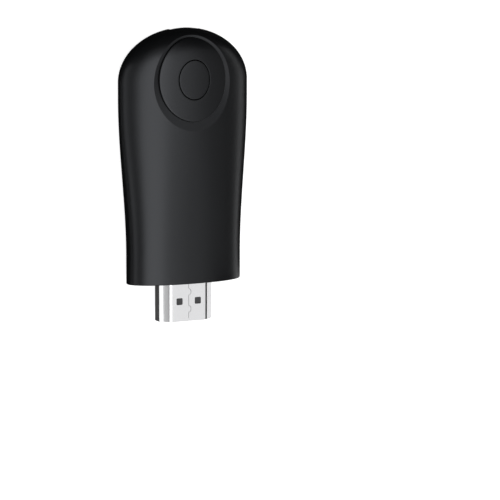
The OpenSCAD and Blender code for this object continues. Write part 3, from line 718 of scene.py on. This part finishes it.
# %% [markdown]
# The groups have the same frame: a colour and a roughness go in, with one or
# two values of the effect's own, and a colour, a roughness and a height come
# out. All of them read Object coordinates, so a pattern stays on its piece.

# %% Frame of the surface groups
FLOAT, COLOUR = "NodeSocketFloat", "NodeSocketColor"
GREY = (0.5, 0.5, 0.5, 1)
FINISH_OUT = [("Colour", COLOUR), ("Roughness", FLOAT), ("Height", FLOAT)]


def finish_group(name, own_inputs):
    inputs = [("Colour", COLOUR, GREY), ("Roughness", FLOAT, 0.5)] + own_inputs
    group, taken, given = node_group(name, inputs, FINISH_OUT)
    place = add(group, "ShaderNodeTexCoord").outputs["Object"]
    return group, taken.outputs, given.inputs, place


def give(group, given, colour, roughness, height):
    for socket, value in zip(given, (colour, roughness, height)):
        group.links.new(value, socket)


def varied(group, value, noise, amount):
    """A value plus or minus an amount, by a noise that is 0.5 on average."""
    return maths(group, "MULTIPLY_ADD", maths(group, "SUBTRACT", noise, 0.5), amount, value)


def mixed(group, factor, a, b, **settings):
    mix = add(group, "ShaderNodeMix", {"Factor": factor}, data_type="RGBA", **settings)
    group.links.new(a, mix.inputs["A"])
    group.links.new(b, mix.inputs["B"])
    return mix.outputs["Result"]


# %% [markdown]
# Black moulded plastic is never one even black. The mould's spark-eroded face
# leaves a fine grain, which spreads a highlight a little, and handling leaves a
# broad unevenness. Two noises of very different scale give both.

# %% Moulded grain
grain, taken, given, place = finish_group(
    "moulded_grain", [("Grain size", FLOAT, 4500.0), ("Mottle", FLOAT, 0.1)])
fine = add(grain, "ShaderNodeTexNoise", {
    "Vector": place, "Scale": taken["Grain size"], "Detail": 3.0, "Roughness": 0.6}).outputs["Fac"]
broad = add(grain, "ShaderNodeTexNoise", {
    "Vector": place, "Scale": 220.0, "Detail": 4.0}).outputs["Fac"]
lightness = maths(grain, "MULTIPLY_ADD", broad, taken["Mottle"], 1.0)
give(grain, given, mixed(grain, 1.0, taken["Colour"], lightness, blend_type="MULTIPLY"),
     varied(grain, taken["Roughness"], fine, 0.08), fine)

# %% [markdown]
# Plated sheet keeps faint streaks from the rolls and dies that shaped it. A
# noise that is squeezed across the plug and stretched along it draws them, and
# a second, round noise makes the dull patches that fingers leave.

# %% Drawn metal
drawn, taken, given, place = finish_group(
    "drawn_metal", [("Streaks", FLOAT, 0.05), ("Dullness", FLOAT, 0.05)])
along = add(drawn, "ShaderNodeMapping", {
    "Vector": place, "Scale": (9000, 260, 9000)}).outputs["Vector"]
streak = add(drawn, "ShaderNodeTexNoise", {
    "Vector": along, "Scale": 1.0, "Detail": 3.0}).outputs["Fac"]
patch = add(drawn, "ShaderNodeTexNoise", {
    "Vector": place, "Scale": 300.0, "Detail": 4.0}).outputs["Fac"]
clean = maths(drawn, "SUBTRACT", 1.0, maths(drawn, "MULTIPLY", patch, taken["Dullness"]))
give(drawn, given, mixed(drawn, 1.0, taken["Colour"], clean, blend_type="MULTIPLY"),
     varied(drawn, taken["Roughness"], streak, taken["Streaks"]), streak)

# %% [markdown]
# A circuit board is glass cloth in resin under a coloured lacquer, with copper
# tracks that show through as a lighter tone. Two waves at right angles make the
# cloth, and the joints of a brick pattern stand for the tracks.

# %% Board laminate
laminate, taken, given, place = finish_group(
    "board_laminate", [("Track colour", COLOUR, GREY)])
across, down = [add(laminate, "ShaderNodeTexWave", {"Vector": place, "Scale": 620.0},
                    bands_direction=d).outputs["Fac"] for d in ("X", "Y")]
woven = maths(laminate, "MULTIPLY", across, down)
tracks = add(laminate, "ShaderNodeTexBrick", {
    "Vector": place, "Color1": taken["Colour"], "Color2": taken["Colour"],
    "Mortar": taken["Track colour"], "Scale": 1.0, "Mortar Size": 0.00009,
    "Brick Width": 0.0021, "Row Height": 0.0008}).outputs["Color"]
give(laminate, given, tracks, varied(laminate, taken["Roughness"], woven, 0.1), woven)

# %% [markdown]
# Ferrite, ceramic and foam are small grains or cells of slightly different
# tones. A Voronoi pattern gives each cell a value of its own, which mixes two
# colours, and the distance to the cell's middle gives the bump.

# %% Pressed cells
speckle, taken, given, place = finish_group(
    "pressed_cells", [("Other colour", COLOUR, GREY), ("Cells", FLOAT, 6000.0)])
cell = add(speckle, "ShaderNodeTexVoronoi", {"Vector": place, "Scale": taken["Cells"]})
tone = add(speckle, "ShaderNodeSeparateColor", {"Color": cell.outputs["Color"]}).outputs[0]
give(speckle, given, mixed(speckle, tone, taken["Colour"], taken["Other colour"]),
     varied(speckle, taken["Roughness"], tone, 0.1), cell.outputs["Distance"])
print("surface groups:", ", ".join(g.name for g in bpy.data.node_groups))

# %% [markdown]
# A finish puts one of the groups into a Principled material. The group feeds
# the colour, the roughness and, through a fine bump, the normal. What is the
# same all over, such as how metallic it is, is set on the shader itself.

# %% Finish helper
def material(name, colour, roughness, **sockets):
    mat = bpy.data.materials.new(name)
    mat.use_nodes = True
    mat.diffuse_color = (*colour, 1)
    shader = mat.node_tree.nodes["Principled BSDF"]
    shader.inputs["Base Color"].default_value = (*colour, 1)
    shader.inputs["Roughness"].default_value = roughness
    for key, value in sockets.items():
        shader.inputs[key.replace("_", " ")].default_value = value
    return mat, mat.node_tree, shader


def finish(name, group, colour, roughness, own, bump=0.1, depth=0.02, **sockets):
    """A material whose colour, roughness and fine bump come from one of the groups."""
    mat, tree, shader = material(name, colour, roughness, **sockets)
    node = add(tree, "ShaderNodeGroup", {
        "Colour": (*colour, 1), "Roughness": roughness, **own}, node_tree=group)
    ridge = add(tree, "ShaderNodeBump", {
        "Strength": bump, "Distance": depth*MM, "Height": node.outputs["Height"]})
    tree.links.new(node.outputs["Colour"], shader.inputs["Base Color"])
    tree.links.new(node.outputs["Roughness"], shader.inputs["Roughness"])
    tree.links.new(ridge.outputs["Normal"], shader.inputs["Normal"])
    return mat


def paint(mat, *pieces):
    """Gives objects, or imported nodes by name, one material."""
    for item in pieces:
        data = (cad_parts[item] if isinstance(item, str) else item).data
        data.materials.clear()
        data.materials.append(mat)


# %% [markdown]
# The housing is soft black plastic with a satin surface. Its own colour is close
# to nothing, and what the photograph shows on it is only the light. So its
# colour is very dark, its reflections are weaker than common plastic's, and a
# slightly cool tint makes them the neutral to bluish grey of the photograph.

# %% Soft black plastic
soft_black = finish("soft_black_plastic", grain, (0.002, 0.0021, 0.0023), 0.3,
                    {"Mottle": 0.3}, bump=0.15,
                    Specular_IOR_Level=0.3, Specular_Tint=(0.95, 0.98, 1.04, 1))
paint(soft_black, front_shell, rear_shell, plate, button)

# %% [markdown]
# The sleeve is plated with bright nickel. Its roughness is low, so that the
# bands of light on the crowned chamfer keep clear edges.

# %% Bright nickel
nickel = finish("bright_nickel", drawn, (0.72, 0.72, 0.73), 0.12,
                {"Streaks": 0.04, "Dullness": 0.03}, bump=0.06, depth=0.005, Metallic=1.0)
paint(nickel, sleeve)

# %% [markdown]
# The pieces inside show only through the mouth of the plug, the power socket
# and the gap round the button, and when someone opens the model. They keep the
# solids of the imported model. Each gets the finish its real counterpart has,
# from a table of colour, roughness and nodes. Metals and plastics come first.

# %% Metals and plastics inside
METALS = {
    "socket_steel": ((0.6, 0.6, 0.6), 0.25, ("jack_shell", "board_screws", "crystals")),
    "contact_gold": ((0.85, 0.62, 0.28), 0.25,
                     ("plug_upper_contacts", "plug_lower_contacts", "jack_contacts")),
    "tin_plate": ((0.66, 0.66, 0.64), 0.35, ("wifi_shield", "switch_cover")),
    "cast_aluminium": ((0.78, 0.78, 0.79), 0.42, ("heat_spreader",)),
}
for name, (colour, roughness, nodes) in METALS.items():
    paint(finish(name, drawn, colour, roughness, {"Streaks": 0.12, "Dullness": 0.15},
                 depth=0.01, Metallic=1.0), *nodes)

PLASTICS = {
    "connector_black": ((0.02, 0.02, 0.022), 0.4, 4500,
                        ("plug_insulator", "jack_insulator", "switch_body")),
    "chip_epoxy": ((0.028, 0.028, 0.03), 0.55, 9000,
                   ("main_processor", "memory_chip", "flash_chip", "voltage_regulators")),
    "plunger_white": ((0.7, 0.69, 0.66), 0.45, 4500, ("switch_plunger",)),
}
for name, (colour, roughness, size, nodes) in PLASTICS.items():
    paint(finish(name, grain, colour, roughness, {"Grain size": size, "Mottle": 0.2}), *nodes)
print("metals and plastics:", ", ".join([*METALS, *PLASTICS]))

# %% [markdown]
# The boards have a thin clear lacquer over their colour, which is a coat on the
# shader. Powders and foams take two tones each.

# %% Boards and pressed powders inside
BOARDS = {
    "board_green": ((0.012, 0.05, 0.03), (0.03, 0.11, 0.06), "circuit_board"),
    "module_black": ((0.015, 0.016, 0.018), (0.04, 0.045, 0.05), "wifi_module"),
}
for name, (colour, track, node) in BOARDS.items():
    paint(finish(name, laminate, colour, 0.35, {"Track colour": (*track, 1)},
                 Coat_Weight=0.2), node)

POWDERS = {
    "ferrite": ((0.05, 0.05, 0.052), (0.09, 0.088, 0.085), 0.6, ("power_inductors",)),
    "capacitor_ceramic": ((0.36, 0.24, 0.13), (0.42, 0.29, 0.17), 0.5,
                          ("large_capacitors", "small_capacitors")),
    "resistor_ceramic": ((0.05, 0.05, 0.06), (0.5, 0.5, 0.48), 0.45, ("small_resistors",)),
    "antenna_ceramic": ((0.72, 0.7, 0.64), (0.8, 0.78, 0.72), 0.4, ("chip_antenna",)),
    "pad_silicone": ((0.3, 0.36, 0.42), (0.36, 0.42, 0.48), 0.8, ("thermal_pad",)),
    "foam_tape": ((0.05, 0.05, 0.05), (0.1, 0.1, 0.1), 0.9, ("plate_tape",)),
}
for name, (colour, other, roughness, nodes) in POWDERS.items():
    paint(finish(name, speckle, colour, roughness, {"Other colour": (*other, 1)}), *nodes)

unpainted = [name for name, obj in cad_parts.items()
             if not obj.hide_render and len(obj.data.materials) != 1]
print("nodes still without a finish:", unpainted or "none")

# %% [markdown]
# The part lies on a plain pale floor. Camera rays and reflections see the floor
# topped up to white, while its own shading still carries the soft shadow.

# %% Floor
FLOOR_HALF, FLOOR_DROP = 1.5, 0.02*MM
FLOOR_GREY, FLOOR_TOP_UP = 0.4, 0.85

bm = bmesh.new()
bmesh.ops.create_grid(bm, x_segments=1, y_segments=1, size=FLOOR_HALF)
floor = as_object("studio_floor", bm)
floor.location = (0, 0, -FLOOR_DROP)

pale, tree, shader = material("pale_floor", (FLOOR_GREY,)*3, 0.9, Specular_IOR_Level=0.0)
rays = add(tree, "ShaderNodeLightPath").outputs
seen = maths(tree, "MAXIMUM", rays["Is Camera Ray"], rays["Is Glossy Ray"])
seen = maths(tree, "MAXIMUM", seen, rays["Is Transmission Ray"])
shader.inputs["Emission Color"].default_value = (1, 1, 1, 1)
tree.links.new(maths(tree, "MULTIPLY", seen, FLOOR_TOP_UP), shader.inputs["Emission Strength"])
paint(pale, floor)
print("floor:", 2*FLOOR_HALF, "m square")

# %% [markdown]
# A view that looks level past the part would see a dark world above the floor's
# far edge. A large white drum stands round the studio, and only the camera sees
# it, so it lights nothing and shows in no reflection.

# %% Backdrop
DRUM_RADIUS, DRUM_HEIGHT, DRUM_SIDES = 1.45, 3, 64

bm = bmesh.new()
bmesh.ops.create_cone(bm, segments=DRUM_SIDES, radius1=DRUM_RADIUS, radius2=DRUM_RADIUS,
                      depth=DRUM_HEIGHT, cap_ends=True, cap_tris=False)
bmesh.ops.reverse_faces(bm, faces=bm.faces[:])
backdrop = as_object("studio_backdrop", bm)
backdrop.visible_diffuse = backdrop.visible_glossy = False
backdrop.visible_shadow = backdrop.visible_transmission = False
paint(material("white_backdrop", (0, 0, 0), 1.0, Specular_IOR_Level=0.0,
               Emission_Color=(1, 1, 1, 1), Emission_Strength=1.0)[0], backdrop)

# %% [markdown]
# The world gives a faint even light, so that no corner is pitch black. It stays
# weak, because a satin black surface shows every light that it mirrors.

# %% World
world = bpy.data.worlds.new("studio_world")
world.use_nodes = True
scene.world = world
sky = world.node_tree.nodes["Background"].inputs
sky["Color"].default_value = (0.9, 0.9, 0.9, 1)
sky["Strength"].default_value = 0.06
print("world strength:", round(sky["Strength"].default_value, 2))

# %% [markdown]
# What the housing shows is a row of long softboxes. A point whose surface tilts
# by some angle mirrors the light that stands about twice that angle away, so
# each band of grey on the crown tells where a softbox stands and how bright it
# is. The rows below were found in that way: each strip was rendered alone, and
# the strengths are the mix of these renders that comes closest to the
# photograph. One big light would have been simpler, but it gives one highlight
# with no gradient beside it.

# %% Softbox helper
LAMP_DISTANCE = 0.9


def strip_light(name, tilt_from, tilt_to, low, high, radiance):
    """A softbox over a range of tilt to the right and of rise to the head, in degrees."""
    tilt, rise = math.radians((tilt_from + tilt_to)/2), math.radians((low + high)/2)
    back = Vector((math.sin(tilt)*math.cos(rise), math.sin(rise), math.cos(tilt)*math.cos(rise)))
    across = Vector((0, 1, 0)).cross(back).normalized()
    data = bpy.data.lights.new(name, "AREA")
    data.shape = "RECTANGLE"
    data.size = 2*LAMP_DISTANCE*math.tan(math.radians(tilt_to - tilt_from)/2)
    data.size_y = 2*LAMP_DISTANCE*math.tan(math.radians(high - low)/2)
    data.energy = radiance*math.pi*data.size*data.size_y
    lamp = bpy.data.objects.new(name, data)
    scene.collection.objects.link(lamp)
    lamp.location = back*LAMP_DISTANCE
    lamp.rotation_mode = "QUATERNION"
    turned = Matrix((across, back.cross(across), back)).transposed()
    lamp.rotation_quaternion = turned.to_quaternion()


# %% [markdown]
# The key stands over the left of the part and is by far the strongest. The
# fills continue it to the right, weaker and weaker, and the low strips at both
# sides draw the thin bright lines along the flanks. Three short ones above the
# long rows light the upper part of the plate and the dish.

# %% Softboxes
LOW, HIGH, HIGHER, TOP = -50, 28, 38, 50
SOFTBOXES = (
    ("left_low", -74, -60, LOW, HIGH, 1.6),
    ("left_near", -60, -49, LOW, HIGH, 0.58),
    ("key_soft", -42, -32, LOW, HIGH, 0.75),
    ("key", -32, 0, LOW, HIGH, 3.2),
    ("key_high", -33, 0, HIGH, HIGHER, 1.0),
    ("key_top", -33, 0, HIGHER, TOP, 0.58),
    ("fill", 0, 19, LOW, HIGH, 1.48),
    ("fill_high", 0, 31, HIGH, HIGHER, 0.32),
    ("fill_near", 19, 31, LOW, HIGH, 0.98),
    ("fill_edge", 31, 40, LOW, HIGH, 0.58),
    ("right_near", 40, 56, LOW, HIGH, 0.41),
    ("right_faint", 56, 72, LOW, HIGH, 0.19),
    ("right_low", 79, 89, LOW, HIGH, 1.3),
)
for row in SOFTBOXES:
    strip_light(*row)
print("softboxes:", len(SOFTBOXES))

# %% [markdown]
# A photographer shapes reflections with cards as much as with lamps. A white
# floor beside a black part would show as pale streaks low on its flanks, so
# black cards lie there. Under the plug the cards are grey and white, and a
# small flag stands beside it: these give the metal its dark and bright bands.
# The cards are seen by reflections only and throw no shadow.

# %% Reflection cards
FLOOR_CARD = (-0.01, -0.01)


def card(name, mat, x_range, y_range, z_range=FLOOR_CARD):
    """A card on the floor, or standing when it has a height, from ranges in millimetres."""
    ranges = (x_range, y_range, z_range)
    bm = bmesh.new()
    bmesh.ops.create_grid(bm, x_segments=1, y_segments=1, size=0.5)
    if z_range[0] != z_range[1]:
        upright = Matrix.Rotation(math.pi/2, 3, "Y")
        bmesh.ops.rotate(bm, verts=bm.verts[:], matrix=upright)
    bmesh.ops.scale(bm, verts=bm.verts[:], vec=[max(b - a, MM) for a, b in ranges])
    bmesh.ops.translate(bm, verts=bm.verts[:], vec=[(a + b)/2 for a, b in ranges])
    bmesh.ops.scale(bm, verts=bm.verts[:], vec=(MM, MM, MM))
    obj = as_object(name, bm)
    obj.visible_camera = obj.visible_diffuse = False
    obj.visible_shadow = obj.visible_transmission = False
    paint(mat, obj)


def card_paint(name, grey):
    return material(name, (grey, grey, grey), 0.9, Specular_IOR_Level=0.0)[0]


black, dark = card_paint("black_card", 0.02), card_paint("grey_card", 0.07)
mid, white = card_paint("mid_card", 0.45), card_paint("pale_card", 0.9)
HOUSING_ROWS, PLUG_ROWS = (-27, 30), (-60, -27)
card("left_card", black, (-90, 0), HOUSING_ROWS)
card("right_card", black, (0, 90), HOUSING_ROWS)
card("head_card", black, (-900, 900), (30, 1400))
card("plug_card", dark, (-90, -5), PLUG_ROWS)
card("edge_card", mid, (7, 14), PLUG_ROWS)
card("pale_card", white, (14, 90), PLUG_ROWS)
card("plug_flag", dark, (30, 30), (-50, -29.5), (8, 37))

# %% [markdown]
# The Standard view shows colours as they are written.

# %% Render look
scene.view_settings.view_transform = "Standard"
